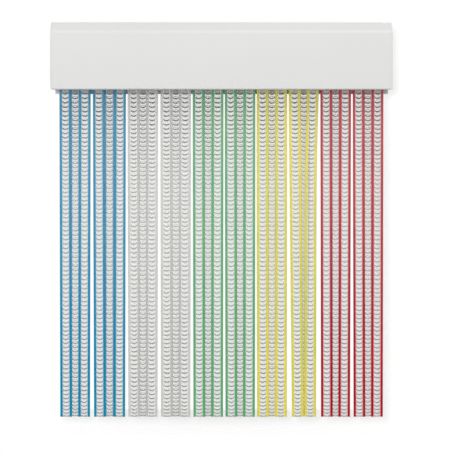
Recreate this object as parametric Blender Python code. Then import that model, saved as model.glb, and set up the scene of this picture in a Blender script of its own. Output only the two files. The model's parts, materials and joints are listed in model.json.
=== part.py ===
"""A door strip curtain: ribbed clear PVC tapes with coloured edge cords, hung in threes
from a wall rail and covered by a white pelmet.

Metres, +Z up, the front faces -Y. The origin is on the rail's wall face, midway between
its two screws. Depths are measured forward from the wall, and levels up from the
pelmet's bottom edge.
"""

import math

import bmesh
import bpy

# Tapes
TAPE_DROP = 0.3288
CORD_SPACING = 0.00953
CORD_DIAMETER = 0.00232
CORD_TOP_DROP = 0.0026
WEB_BACK = 0.00025
RUNG_VALLEY = 0.00012
RUNG_CREST = 0.00045
RUNG_PITCH = 0.0115
RUNG_TOP_DROP = 0.0030
RUNG_STEP_SHARE = 0.3
WEB_ROOT = 0.0001
EYE_WALL = 0.0008
TAPES_IN_A_GROUP = 3

# Hangers
GROUP_COUNT = 10
GROUP_PITCH = 0.03284
TAPE_OFFSET = 0.0097
BAR_RADIUS = 0.001
BAR_DROP = 0.0085
BAR_SPACING = 0.0036
FRONT_BAR_LENGTH = 0.0312
BAR_HEAD_RADIUS = 0.0018
BAR_HEAD_LENGTH = 0.0008
LUG_WALL = 0.0014
LUG_RADIUS = 0.0019
NECK_HALF_WIDTH = 0.0018
CLIP_WALL = 0.0014
CLIP_LENGTH = 0.020
CLIP_MOUTH_HALF_ANGLE = math.radians(50)

# Rail
BEAD_RADIUS = 0.002
BEAD_DEPTH = 0.020
BEAD_LEVEL = 0.015
ARM_WALL = 0.0012
SHELF_LEVEL = 0.0224
SHELF_WALL = 0.0016
RAIL_WALL = 0.0018
RAIL_DROP = 0.0022
RAIL_MARGIN = 0.005
FLANGE_WALL = 0.0016

# Pelmet
PELMET_HEIGHT = 0.0684
PELMET_DEPTH = 0.040
PELMET_WALL = 0.0016
PELMET_LIP = 0.002
PELMET_EDGE_RADIUS = 0.0016
SHOULDER_HEIGHT = 0.0125
SHOULDER_LEAN = math.radians(50)
SHOULDER_RADIUS = 0.005
TOP_RADIUS = 0.0015
WALL_CLEARANCE = 0.0005
HOOK_WALL = 0.0012
HOOK_REACH = 0.006
FLANGE_DEPTH = PELMET_DEPTH - SHOULDER_HEIGHT * math.tan(SHOULDER_LEAN) - HOOK_WALL

# End caps
CAP_WALL = 0.002
CAP_ROUND = 0.0019
CAP_LIFT = 0.0004
TAB_WALL = 0.0014
TAB_REACH = 0.008
FRONT_TAB_LEVELS = (0.012, 0.050)
BACK_TAB_LEVELS = (0.030, 0.058)

# Wall screws
SCREW_LEVEL = 0.044
SCREW_INSET = 0.0442
SHANK_RADIUS = 0.002
SHANK_LENGTH = 0.022
SHANK_POINT = 0.004
SCREW_HEAD_RADIUS = 0.0042
SCREW_HEAD_HEIGHT = 0.0026
SCREW_CROWN_SHARE = 0.6
SCREW_TIP_SHARE = 0.25
SCREW_HOLE_RADIUS = 0.0024

# Clearances and facets
RUN_CLEARANCE = 0.0003
FIT_GAP = 0.0003
OVERRUN = 0.001
BAR_SIDES = 6
CORD_SIDES = 8
CLIP_STEPS = 8
BEAD_STEPS = 12
LUG_STEPS = 3
EDGE_STEPS = 3
SCREW_SIDES = 16
TWIST_STEPS = 8
ARC_STEP = math.radians(15)

# How each group hangs, from left to right: how far its hanger sits along the rail from
# its even place as a share of the pitch, how far apart its two front tapes are spread as
# a share of their offset, how far the feet of the left, middle and right tape drift to
# the right as shares of the cord spacing, and how far the middle tape's foot twists
# backwards about its left cord as a share of a right angle.
GROUP_HANG_SHARES = (
    (0.000, 1.02, 0.10, 0.00, -0.07, 0.00),
    (0.055, 1.11, 0.13, 0.00, -0.08, 0.00),
    (0.083, 0.97, 0.08, 0.00, -0.06, 0.00),
    (0.092, 0.98, 0.07, 0.00, -0.08, 0.00),
    (0.086, 0.99, 0.08, 0.00, -0.05, 0.00),
    (0.068, 0.98, 0.08, 0.00, -0.05, 0.00),
    (0.046, 0.97, 0.05, 0.00, -0.03, 0.00),
    (0.026, 0.97, 0.35, 0.35, -0.31, 0.78),
    (0.006, 0.99, 0.07, 0.00, -0.11, 0.00),
    (0.000, 0.99, 0.09, 0.00, -0.07, 0.00),
)
GROUPS_OF_A_COLOUR = 2
TAPE_COLOURS = ("blue_pvc", "clear_pvc", "green_pvc", "yellow_pvc", "red_pvc")

# Finishes: colour, roughness, metallic
FINISHES = {
    "white_pvc": ((0.78, 0.78, 0.78), 0.35, 0.0),
    "mill_aluminium": ((0.45, 0.45, 0.46), 0.4, 1.0),
    "nylon": ((0.80, 0.80, 0.77), 0.45, 0.0),
    "zinc_steel": ((0.60, 0.61, 0.62), 0.35, 1.0),
    "blue_pvc": ((0.05, 0.30, 0.52), 0.3, 0.0),
    "clear_pvc": ((0.62, 0.62, 0.60), 0.25, 0.0),
    "green_pvc": ((0.09, 0.33, 0.18), 0.3, 0.0),
    "yellow_pvc": ((0.68, 0.62, 0.08), 0.3, 0.0),
    "red_pvc": ((0.55, 0.03, 0.07), 0.3, 0.0),
}

RAIL_HALF_LENGTH = GROUP_PITCH * GROUP_COUNT / 2 + RAIL_MARGIN
BORE_RADIUS = BEAD_RADIUS + RUN_CLEARANCE
EYE_BORE_RADIUS = BAR_RADIUS + RUN_CLEARANCE
BAR_BALANCE_SHARE = 1 / TAPES_IN_A_GROUP
FRONT_BAR_FORWARD = BAR_SPACING * BAR_BALANCE_SHARE
REAR_BAR_BACK = BAR_SPACING - FRONT_BAR_FORWARD
WEB_HALF_WIDTH = CORD_SPACING / 2 - CORD_DIAMETER / 2
FOOT_DROP = TAPE_DROP + BEAD_LEVEL - BAR_DROP


def remove_startup_objects():
    for item in list(bpy.data.objects):
        bpy.data.objects.remove(item)


def finish_material(name):
    colour, roughness, metallic = FINISHES[name]
    material = bpy.data.materials.new(name)
    material.use_nodes = True
    shader = material.node_tree.nodes["Principled BSDF"]
    shader.inputs["Base Color"].default_value = (*colour, 1.0)
    shader.inputs["Roughness"].default_value = roughness
    shader.inputs["Metallic"].default_value = metallic
    material.diffuse_color = (*colour, 1.0)
    return material


def place(depth, level):
    """The Y and Z of a point given by its depth from the wall and its level."""
    return (-depth, level - SCREW_LEVEL)


def arc(centre, radius, start, end, steps):
    """Points on an arc in the plane of an outline, from the start to the end angle."""
    angles = [start + (end - start) * step / steps for step in range(steps + 1)]
    return [
        (centre[0] + radius * math.cos(angle), centre[1] + radius * math.sin(angle))
        for angle in angles
    ]


def inset_path(path, wall):
    """The same path moved by one wall to its left, with mitred corners."""
    sides = []
    for (x0, y0), (x1, y1) in zip(path, path[1:]):
        run = math.hypot(x1 - x0, y1 - y0)
        sides.append(((y0 - y1) / run, (x1 - x0) / run))
    moved = []
    for index, (x, y) in enumerate(path):
        before = sides[max(index - 1, 0)]
        after = sides[min(index, len(sides) - 1)]
        spread = 1 + before[0] * after[0] + before[1] * after[1]
        shift = [wall * (before[axis] + after[axis]) / spread for axis in range(2)]
        moved.append((x + shift[0], y + shift[1]))
    return moved


def sweep(rings, name):
    """A closed solid through rings of points, with its two end rings filled."""
    shape = bmesh.new()
    loops = [[shape.verts.new(point) for point in ring] for ring in rings]
    count = len(rings[0])
    for low, high in zip(loops, loops[1:]):
        for index in range(count):
            after = (index + 1) % count
            shape.faces.new((low[index], low[after], high[after], high[index]))
    shape.faces.new(loops[0])
    shape.faces.new(loops[-1])
    bmesh.ops.recalc_face_normals(shape, faces=shape.faces)
    mesh = bpy.data.meshes.new(name)
    shape.to_mesh(mesh)
    shape.free()
    return mesh


def prism(outline, x_low, x_high, name="prism"):
    """A solid with one outline in the YZ plane, from x_low to x_high."""
    return sweep([[(x, y, z) for y, z in outline] for x in (x_low, x_high)], name)


def turned(profile, sides, axis, centre, name):
    """A solid of rings (place along the axis, radius) about a line along X, Y or Z."""
    step = 2 * math.pi / sides
    rings = []
    for along, radius in profile:
        ring = []
        for side in range(sides):
            angle = step * (side + 0.5)
            point = [radius * math.cos(angle), radius * math.sin(angle)]
            point.insert(axis, along)
            ring.append(tuple(value + centre[index] for index, value in enumerate(point)))
        rings.append(ring)
    return sweep(rings, name)


def add_object(name, mesh, material, location=(0, 0, 0), parent=None):
    item = bpy.data.objects.new(name, mesh)
    item.location = location
    item.parent = parent
    bpy.context.scene.collection.objects.link(item)
    if not mesh.materials:
        mesh.materials.append(material)
    item.material_slots[0].link = "OBJECT"
    item.material_slots[0].material = material
    return item


def combine(mesh, tools, operation, name):
    """One mesh after joining or cutting it with each of the tools in turn."""
    base = bpy.data.objects.new(name, mesh)
    bpy.context.scene.collection.objects.link(base)
    helpers = []
    for tool in tools:
        helper = bpy.data.objects.new(name + "_tool", tool)
        helper.hide_render = True
        helper.display_type = "WIRE"
        bpy.context.scene.collection.objects.link(helper)
        helpers.append(helper)
        modifier = base.modifiers.new(operation, "BOOLEAN")
        modifier.operation = operation
        modifier.solver = "EXACT"
        modifier.object = helper
    graph = bpy.context.evaluated_depsgraph_get()
    result = bpy.data.meshes.new_from_object(base.evaluated_get(graph))
    result.name = name
    for item in helpers + [base]:
        bpy.data.objects.remove(item)
    return result


def shade(mesh, angle=math.radians(40)):
    mesh.shade_smooth()
    mesh.set_sharp_from_angle(angle=angle)
    return mesh


# Head rail


def rail_outline():
    """Back plate, top flange, shelf and arm in one outline, ending in the round bead."""
    top = PELMET_HEIGHT - PELMET_WALL - FIT_GAP
    shelf_top = SHELF_LEVEL + SHELF_WALL
    arm_angle = math.asin(ARM_WALL / 2 / BEAD_RADIUS)
    start = math.pi / 2 - arm_angle
    bead = arc(
        (BEAD_DEPTH, BEAD_LEVEL), BEAD_RADIUS, start, start - 2 * math.pi + 2 * arm_angle,
        BEAD_STEPS,
    )
    points = [
        (0, -RAIL_DROP),
        (0, top),
        (FLANGE_DEPTH, top),
        (FLANGE_DEPTH, top - FLANGE_WALL),
        (RAIL_WALL, top - FLANGE_WALL),
        (RAIL_WALL, shelf_top),
        (BEAD_DEPTH + ARM_WALL / 2, shelf_top),
        *bead,
        (BEAD_DEPTH - ARM_WALL / 2, SHELF_LEVEL),
        (RAIL_WALL, SHELF_LEVEL),
        (RAIL_WALL, -RAIL_DROP),
    ]
    return [place(depth, level) for depth, level in points]


def head_rail(material):
    body = prism(rail_outline(), -RAIL_HALF_LENGTH, RAIL_HALF_LENGTH)
    reach = RAIL_WALL + OVERRUN
    drill = [(-reach, SCREW_HOLE_RADIUS), (OVERRUN, SCREW_HOLE_RADIUS)]
    holes = [
        turned(drill, SCREW_SIDES, 1, (x, 0, 0), "screw_hole") for x in screw_places()
    ]
    add_object("head_rail", shade(combine(body, holes, "DIFFERENCE", "head_rail")), material)


def screw_places():
    return (SCREW_INSET - RAIL_HALF_LENGTH, RAIL_HALF_LENGTH - SCREW_INSET)


# Pelmet and end caps


def front_path():
    """The pelmet's outside from its bottom front edge, over the shoulder, to the top."""
    front = PELMET_DEPTH
    shoulder = PELMET_HEIGHT - SHOULDER_HEIGHT
    steps = round(SHOULDER_LEAN / ARC_STEP)
    knee = arc(
        (front - SHOULDER_RADIUS, shoulder), SHOULDER_RADIUS, 0, SHOULDER_LEAN, steps
    )
    crown_rise = TOP_RADIUS * (1 - math.sin(SHOULDER_LEAN))
    lean_rise = PELMET_HEIGHT - crown_rise - knee[-1][1]
    crown_start = knee[-1][0] - lean_rise * math.tan(SHOULDER_LEAN)
    crown = arc(
        (crown_start - TOP_RADIUS * math.cos(SHOULDER_LEAN), PELMET_HEIGHT - TOP_RADIUS),
        TOP_RADIUS, SHOULDER_LEAN, math.pi / 2, steps,
    )
    return knee + crown


def pelmet_outline():
    edge = arc(
        (PELMET_DEPTH - PELMET_EDGE_RADIUS, PELMET_EDGE_RADIUS), PELMET_EDGE_RADIUS,
        -math.pi / 2, 0, EDGE_STEPS,
    )
    lip_end = (PELMET_DEPTH - PELMET_WALL - PELMET_LIP, 0)
    front = [*front_path(), (WALL_CLEARANCE, PELMET_HEIGHT)]
    outside = [lip_end, *edge, *front]
    inside = inset_path([lip_end, (PELMET_DEPTH, 0), *front], PELMET_WALL)
    roof = PELMET_HEIGHT - PELMET_WALL
    flange_bottom = roof - FIT_GAP - FLANGE_WALL
    leg = FLANGE_DEPTH + FIT_GAP
    foot = leg - HOOK_REACH
    foot_top = flange_bottom - FIT_GAP
    hook = [
        (leg, roof),
        (leg, foot_top),
        (foot, foot_top),
        (foot, foot_top - HOOK_WALL),
        (leg + HOOK_WALL, foot_top - HOOK_WALL),
        (leg + HOOK_WALL, roof),
    ]
    points = outside + [inside[-1]] + hook + inside[-2::-1]
    return [place(depth, level) for depth, level in points]


def pelmet(material):
    body = prism(pelmet_outline(), -RAIL_HALF_LENGTH, RAIL_HALF_LENGTH, "pelmet")
    add_object("pelmet", shade(body), material)


def cap_tab(depth, levels, x_low, x_high):
    corners = [(depth, levels[0]), (depth, levels[1])]
    corners += [(depth + TAB_WALL, levels[1]), (depth + TAB_WALL, levels[0])]
    return prism([place(*corner) for corner in corners], x_low, x_high)


def end_cap(name, side, material):
    """A plate with a rounded outer rim and two tabs that plug into the head."""
    outline = [(0, CAP_LIFT), (PELMET_DEPTH, CAP_LIFT), *front_path(), (0, PELMET_HEIGHT)]
    inner = RAIL_HALF_LENGTH + FIT_GAP
    outer = inner + CAP_WALL
    plate = bmesh.new()
    plate.from_mesh(prism([place(*point) for point in outline], side * inner, side * outer))
    rim = [
        edge for edge in plate.edges
        if all(outer - abs(vert.co.x) < CAP_WALL / 2 for vert in edge.verts)
    ]
    bmesh.ops.bevel(
        plate, geom=rim, offset=CAP_ROUND, segments=2, profile=0.5, affect="EDGES",
        clamp_overlap=True,
    )
    mesh = bpy.data.meshes.new(name)
    plate.to_mesh(mesh)
    plate.free()
    x_places = sorted((side * (inner - TAB_REACH), side * (inner + CAP_WALL / 2)))
    front = PELMET_DEPTH - PELMET_WALL - FIT_GAP - TAB_WALL
    tabs = [
        cap_tab(front, FRONT_TAB_LEVELS, *x_places),
        cap_tab(RAIL_WALL + FIT_GAP, BACK_TAB_LEVELS, *x_places),
    ]
    add_object(name, shade(combine(mesh, tabs, "UNION", name)), material)


# Wall screws


def wall_screw(name, x, material):
    seat = -(RAIL_WALL + FIT_GAP)
    profile = [
        (seat - SCREW_HEAD_HEIGHT, SCREW_HEAD_RADIUS * SCREW_CROWN_SHARE),
        (seat - SCREW_HEAD_HEIGHT / 2, SCREW_HEAD_RADIUS),
        (seat, SCREW_HEAD_RADIUS),
        (seat, SHANK_RADIUS),
        (SHANK_LENGTH - SHANK_POINT, SHANK_RADIUS),
        (SHANK_LENGTH, SHANK_RADIUS * SCREW_TIP_SHARE),
    ]
    body = turned(profile, SCREW_SIDES, 1, (x, 0, 0), name)
    add_object(name, shade(body), material)


# Hangers


def clip_outline():
    """A C that snaps over the bead, with its mouth up so that it can swing past the arm."""
    start = math.pi / 2 - CLIP_MOUTH_HALF_ANGLE
    end = start - 2 * (math.pi - CLIP_MOUTH_HALF_ANGLE)
    half_step = (start - end) / CLIP_STEPS / 2
    outer_radius = BORE_RADIUS + CLIP_WALL
    outer = arc((0, 0), outer_radius, start, end, CLIP_STEPS)
    inner = arc((0, 0), BORE_RADIUS / math.cos(half_step), end, start, CLIP_STEPS)
    return outer + inner


def lug_outline():
    """A plate that hangs from the clip and widens to hold both bars."""
    top = -(BORE_RADIUS + CLIP_WALL / 2)
    front = arc(
        (-FRONT_BAR_FORWARD, -BAR_DROP), LUG_RADIUS, math.pi, math.pi * 3 / 2, LUG_STEPS
    )
    rear = arc((REAR_BAR_BACK, -BAR_DROP), LUG_RADIUS, -math.pi / 2, 0, LUG_STEPS)
    return [(-NECK_HALF_WIDTH, top), *front, *rear, (NECK_HALF_WIDTH, top)]


def hanger_mesh():
    clip = prism(clip_outline(), -CLIP_LENGTH / 2, CLIP_LENGTH / 2)
    lug_inside = WEB_HALF_WIDTH + WEB_ROOT + FIT_GAP
    lug_outside = lug_inside + LUG_WALL
    lugs = [
        prism(lug_outline(), *sorted((side * lug_inside, side * lug_outside)))
        for side in (-1, 1)
    ]
    end = FRONT_BAR_LENGTH / 2
    head = end - BAR_HEAD_LENGTH
    front_profile = [
        (-end, BAR_HEAD_RADIUS), (-head, BAR_RADIUS), (head, BAR_RADIUS),
        (end, BAR_HEAD_RADIUS),
    ]
    rear_end = lug_inside + LUG_WALL / 2
    rear_profile = [(-rear_end, BAR_RADIUS), (rear_end, BAR_RADIUS)]
    front_bar = turned(
        front_profile, BAR_SIDES, 0, (0, -FRONT_BAR_FORWARD, -BAR_DROP), "front_bar"
    )
    rear_bar = turned(
        rear_profile, BAR_SIDES, 0, (0, REAR_BAR_BACK, -BAR_DROP), "rear_bar"
    )
    return combine(clip, [*lugs, front_bar, rear_bar], "UNION", "hanger")


# Tapes


def web_outline():
    """The tape seen from its edge: an eye on top, then a web with rungs on its front."""
    half_step = math.pi / BAR_SIDES
    eye_radius = EYE_BORE_RADIUS / math.cos(half_step) + EYE_WALL
    back_angle = math.asin(WEB_BACK / eye_radius) - math.pi / 2
    front_angle = math.pi * 3 / 2 - math.asin(RUNG_VALLEY / eye_radius)
    eye = arc((0, 0), eye_radius, back_angle, front_angle, BAR_SIDES - 1)
    rung_run = FOOT_DROP - RUNG_TOP_DROP
    rungs = round(rung_run / RUNG_PITCH)
    pitch = rung_run / rungs
    front = []
    for rung in range(rungs):
        top = -RUNG_TOP_DROP - pitch * rung
        front.append((-RUNG_VALLEY, top))
        front.append((-RUNG_CREST, top - pitch * (1 - RUNG_STEP_SHARE)))
    return [(WEB_BACK, -FOOT_DROP), *eye, *front, (-RUNG_VALLEY, -FOOT_DROP)]


def tape_mesh():
    """A thin laddered web between two round cords, with its origin in the eye."""
    half_width = WEB_HALF_WIDTH + WEB_ROOT
    bore_radius = EYE_BORE_RADIUS / math.cos(math.pi / BAR_SIDES)
    reach = half_width + OVERRUN
    bore = turned(
        [(-reach, bore_radius), (reach, bore_radius)], BAR_SIDES, 0, (0, 0, 0), "eye_bore"
    )
    web = prism(web_outline(), -half_width, half_width)
    web = combine(web, [bore], "DIFFERENCE", "web")
    cord_radius = CORD_DIAMETER / 2 / math.cos(math.pi / CORD_SIDES)
    cords = [
        turned(
            [(-FOOT_DROP, cord_radius), (-CORD_TOP_DROP, cord_radius)], CORD_SIDES, 2,
            (side * CORD_SPACING / 2, 0, 0), "cord",
        )
        for side in (-1, 1)
    ]
    return combine(web, cords, "UNION", "tape")


def twisted(mesh, turn):
    """A copy of a tape that twists steadily about its left cord, by turn at its foot."""
    shape = bmesh.new()
    shape.from_mesh(mesh)
    for step in range(1, TWIST_STEPS):
        bmesh.ops.bisect_plane(
            shape, geom=[*shape.verts, *shape.edges, *shape.faces],
            plane_co=(0, 0, -FOOT_DROP * step / TWIST_STEPS), plane_no=(0, 0, 1),
        )
    bmesh.ops.triangulate(shape, faces=shape.faces)
    for vert in shape.verts:
        angle = turn * max(-vert.co.z, 0) / FOOT_DROP
        across = vert.co.x + CORD_SPACING / 2
        deep = vert.co.y
        vert.co.x = across * math.cos(angle) - deep * math.sin(angle) - CORD_SPACING / 2
        vert.co.y = across * math.sin(angle) + deep * math.cos(angle)
    copy = bpy.data.meshes.new("twisted_tape")
    shape.to_mesh(copy)
    shape.free()
    return shade(copy)


def hang_tape(name, mesh, material, hanger, place_on_bar, drift_share):
    """A tape on one of the hanger's bars, its foot drifting to the right as it hangs."""
    tape = add_object(name, mesh, material, (*place_on_bar, -BAR_DROP), hanger)
    tape.rotation_euler.y = -math.atan(CORD_SPACING * drift_share / TAPE_DROP)


def hang_group(number, shares, hanger, mesh, colour):
    """Two tapes side by side on the hanger's front bar, and one between them behind."""
    spread_share, left_share, middle_share, right_share, turn_share = shares
    offset = TAPE_OFFSET * spread_share
    front = -FRONT_BAR_FORWARD
    middle_mesh = twisted(mesh, turn_share * math.pi / 2) if turn_share else mesh
    hang_tape(f"tape_{number}_left", mesh, colour, hanger, (-offset, front), left_share)
    hang_tape(
        f"tape_{number}_middle", middle_mesh, colour, hanger, (0, REAR_BAR_BACK),
        middle_share,
    )
    hang_tape(f"tape_{number}_right", mesh, colour, hanger, (offset, front), right_share)


def hang_groups(materials):
    hanger_shape = shade(hanger_mesh())
    tape_shape = shade(tape_mesh())
    y, z = place(BEAD_DEPTH, BEAD_LEVEL)
    for group in range(GROUP_COUNT):
        slide_share, *shares = GROUP_HANG_SHARES[group % len(GROUP_HANG_SHARES)]
        x = GROUP_PITCH * (group - (GROUP_COUNT - 1) / 2 + slide_share)
        number = f"{group + 1:02d}"
        hanger = add_object(
            f"hanger_{number}", hanger_shape, materials["nylon"], (x, y, z)
        )
        colour = TAPE_COLOURS[group // GROUPS_OF_A_COLOUR % len(TAPE_COLOURS)]
        hang_group(number, shares, hanger, tape_shape, materials[colour])


def build_curtain():
    remove_startup_objects()
    materials = {name: finish_material(name) for name in FINISHES}
    head_rail(materials["mill_aluminium"])
    pelmet(materials["white_pvc"])
    end_cap("end_cap_left", -1, materials["white_pvc"])
    end_cap("end_cap_right", 1, materials["white_pvc"])
    for name, x in zip(("wall_screw_left", "wall_screw_right"), screw_places()):
        wall_screw(name, x, materials["zinc_steel"])
    hang_groups(materials)


build_curtain()
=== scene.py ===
"""The looks of the door strip curtain: its ribbed tapes, moulded head, finishes and studio.

Metres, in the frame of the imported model: +X to the right, +Y into the wall, +Z up. The
front faces -Y. Depths are measured forward from the wall.
"""

import json
import math

import bmesh
import bpy
from mathutils import Matrix, Vector

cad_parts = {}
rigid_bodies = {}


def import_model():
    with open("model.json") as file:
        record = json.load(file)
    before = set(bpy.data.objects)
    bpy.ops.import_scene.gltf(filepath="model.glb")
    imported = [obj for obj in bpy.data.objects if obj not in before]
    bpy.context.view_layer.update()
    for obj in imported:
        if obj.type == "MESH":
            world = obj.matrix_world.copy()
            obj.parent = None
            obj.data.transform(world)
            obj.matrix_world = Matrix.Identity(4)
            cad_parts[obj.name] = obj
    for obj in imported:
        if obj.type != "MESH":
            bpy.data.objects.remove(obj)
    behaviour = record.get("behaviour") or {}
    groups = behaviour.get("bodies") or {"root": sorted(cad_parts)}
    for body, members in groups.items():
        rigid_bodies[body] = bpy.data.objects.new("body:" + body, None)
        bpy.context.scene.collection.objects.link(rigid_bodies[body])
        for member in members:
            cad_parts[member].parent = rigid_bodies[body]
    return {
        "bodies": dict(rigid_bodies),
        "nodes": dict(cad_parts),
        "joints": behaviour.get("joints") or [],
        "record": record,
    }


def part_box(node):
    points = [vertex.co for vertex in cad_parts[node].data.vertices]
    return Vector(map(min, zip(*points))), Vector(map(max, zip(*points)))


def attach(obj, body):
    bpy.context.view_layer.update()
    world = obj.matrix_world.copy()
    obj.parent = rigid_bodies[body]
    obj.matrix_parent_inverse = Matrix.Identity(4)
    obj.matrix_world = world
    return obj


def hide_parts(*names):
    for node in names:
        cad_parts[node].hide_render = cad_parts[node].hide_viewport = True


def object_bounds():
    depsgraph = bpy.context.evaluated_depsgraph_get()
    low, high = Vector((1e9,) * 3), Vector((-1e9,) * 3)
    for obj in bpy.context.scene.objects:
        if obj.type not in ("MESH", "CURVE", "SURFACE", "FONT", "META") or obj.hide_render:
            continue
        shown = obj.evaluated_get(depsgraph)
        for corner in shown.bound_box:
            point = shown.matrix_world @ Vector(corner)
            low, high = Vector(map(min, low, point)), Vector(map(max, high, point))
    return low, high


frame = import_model()
cad_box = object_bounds()

# Camera
PICTURE_PIXELS = 455
PIXEL_SIZE = 0.001
CAMERA_DISTANCE = 2.2
CAMERA_SIDE = 0.006
PELMET_EDGE_ROW = 89.5
SENSOR_WIDTH = 36.0

# Tapes
RUNGS = 78
ROWS_PER_RUNG = 4
COLUMNS = 6
CORD_SPACING = 0.00953
CORD_RADIUS = 0.00116
CORD_TOP_DROP = 0.0026
CORD_SIDES = 10
CORD_STATIONS = 60
WEB_HALF_WIDTH = 0.00375
WEB_TOP_DROP = 0.00184
WEB_WALL = 0.00037
RUNG_VALLEY = 0.00012
RUNG_RISE = 0.00033
RUNG_STEP_SHARE = 0.25
RUNG_SAG = 0.0020
RUNG_SAG_POWER = 2.8
RUNG_TILT = 0.0022
RUNG_WANDER_STEP = 0.13
SAG_LEAST = 0.2
SAG_SPREAD = 1.6
LIFT_SHARE = 0.7
CORD_LEAST = 0.94
CORD_SPREAD = 0.10
CORD_NOISE_SCALE = 70.0
EYE_BORE_RADIUS = 0.0013
EYE_WALL = 0.0008
EYE_SIDES = 24
MERGE_DISTANCE = 1e-6
RUNG_PLACE_SHARES = (
    (0.0, 0.0), (0.151, 0.157), (0.279, 0.284), (0.408, 0.4125), (0.536, 0.546),
    (0.626, 0.640), (0.792, 0.804), (0.985, 0.990), (1.0, 1.0),
)
TWISTED_TAPE = "tape_08_middle"
TWIST = math.radians(70)
BOWED_TAPE = "tape_08_right"
BOW = 0.0022
BOW_SHARE = 0.35

# Head, with levels measured up from the pelmet's bottom edge
PELMET_WALL = 0.0016
PELMET_LIP = 0.002
PELMET_EDGE_RADIUS = 0.0016
SHOULDER_HEIGHT = 0.0125
SHOULDER_LEAN = math.radians(50)
SHOULDER_RADIUS = 0.005
TOP_RADIUS = 0.0015
WALL_CLEARANCE = 0.0005
HOOK_WALL = 0.0012
HOOK_REACH = 0.006
FLANGE_WALL = 0.0016
RAIL_WALL = 0.0018
FIT_GAP = 0.0003
SEAM = 0.00005
CAP_ROUND = 0.0019
CAP_RIM_INSET = 0.0014
CAP_RIM_STEPS = 6
CAP_FOOT_RISE = 0.0025
FLAT_END = 0.999
TAB_WALL = 0.0014
TAB_REACH = 0.008
FRONT_TAB_LEVELS = (0.012, 0.050)
BACK_TAB_LEVELS = (0.030, 0.058)
ARC_STEP = math.radians(5)
COARSE_ARC_STEP = ARC_STEP * 3
SMOOTH_BELOW = math.radians(40)

# Hangers
CLIP_BORE = 0.0023
CLIP_WALL = 0.0014
CLIP_LENGTH = 0.020
CLIP_MOUTH_HALF_ANGLE = math.radians(50)
NECK_HALF_WIDTH = 0.0018
LUG_RADIUS = 0.0019
LUG_INSIDE = 0.004005
LUG_WALL = 0.0014
BAR_RADIUS = 0.001
BAR_DROP = 0.0085
FRONT_BAR_FORWARD = 0.0012
REAR_BAR_BACK = 0.0024
FRONT_BAR_LENGTH = 0.0312
BAR_HEAD_RADIUS = 0.0018
BAR_HEAD_LENGTH = 0.0008
BAR_END_SHARE = 0.8
BAR_SIDES = 20
MOULDED_EDGE = 0.00015
SHARP_ABOVE = math.radians(35)

# Wall screws
SCREW_HEAD_RADIUS = 0.0042
SCREW_HEAD_HEIGHT = 0.0026
SCREW_CROWN_SHARE = 0.6
THREAD_RADIUS = 0.002
THREAD_ROOT_RADIUS = 0.00145
THREAD_PITCH = 0.0014
THREAD_ROWS = 8
THREAD_SLOPE = 4
THREAD_SMOOTH_BELOW = math.radians(60)
SCREW_POINT = 0.004
SCREW_TIP_RADIUS = 0.00025
SCREW_SIDES = 32

# Cord colours at the foot, where no painted light pales them
CORD_COLOURS = {
    "blue_pvc": (0.001, 0.265, 0.445),
    "clear_pvc": (0.66, 0.66, 0.635),
    "green_pvc": (0.130, 0.410, 0.190),
    "yellow_pvc": (0.800, 0.715, 0.080),
    "red_pvc": (0.465, 0.003, 0.018),
}
# Painted light: how much paler each cord is painted near its top, and the drops over which that
# fades
CORD_TOP_LIGHT = 0.09
TOP_LIGHT_DROPS = (0.05, 0.36)
COLOUR_DRIFT = ((0.88, 0.96, 1.04), (1.07, 1.03, 0.96))
CLEAR_DRIFT = ((0.97, 0.97, 0.97), (1.03, 1.03, 1.03))
PATCH_EDGES = (0.35, 0.65)
CORD_PATCHES = (24.0, (1, 1, 0.5))
CORD_FLOW = (900.0, (1, 1, 0.03))
CORD_ROUGHNESS = (0.28, 0.42)
CORD_GLOSS = 0.1
CORD_GRAIN = 0.15
CORD_ALPHAS = {"front": 0.98, "middle": 0.66}
CLEAR_ALPHAS = {"front": 0.6, "middle": 0.45}

# Web between the cords
WEB_COLOUR = (0.80, 0.80, 0.77)
WEB_TINT = 0.05
# The middle tapes hang in the front tapes' shade; their webs are made more see-through, which
# paints light back into them
WEB_ALPHAS = {"front": 0.40, "middle": 0.30}
WEB_SHADOW_SHARE = 0.8
WEB_ROUGHNESS = 0.3
WEB_GLOSS = 0.35
BORDER_SHARES = (0.66, 0.82)
# Painted light: the cord's colour, painted into the clear web beside it as a glow that spills
# from the cord
CORD_GLOW_TINT = 0.46
EDGE_ALPHA = 0.72

# Painted shade: a dark line along the lower edge of each rung, standing in for the refraction
# at the rung's step, and a fainter one above it
RUNG_SHADE_COLOUR = (0.03, 0.03, 0.03)
RUNG_SHADE_ALPHA = 0.98
RUNG_LINE_PHASE = 0.8
RUNG_LINE_STOPS = (
    (0.0, 0.0), (0.25, 0.02), (0.38, 1.0), (0.57, 1.0), (0.70, 0.03), (1.0, 0.0),
)
# Painted shade: the rung lines are darkest at the top, in the pelmet's shade, lightest in the
# middle and darker again towards the foot
RUNG_SHADE_ALONG_STOPS = (
    (0.0, 0.90), (0.06, 0.84), (0.14, 0.70), (0.30, 0.46), (0.62, 0.47), (0.74, 0.58),
    (1.0, 0.63),
)
LINE_LEVELS = {"front": 1.0, "middle": 0.92}
LINE_END_SHARES = (0.74, 0.84)
ARCH = 0.9
SECOND_LINE_STOPS = (
    (0.0, 0.0), (0.32, 0.0), (0.44, 0.9), (0.56, 0.9), (0.68, 0.0), (1.0, 0.0),
)
SECOND_LINES = {"front": 0.06, "middle": 0.55}
RUNG_SHADE_NOISE_SCALE = 300.0
RUNG_SHADE_NOISE_STOPS = ((0.25, 0.85), (0.75, 1.1))

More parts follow.
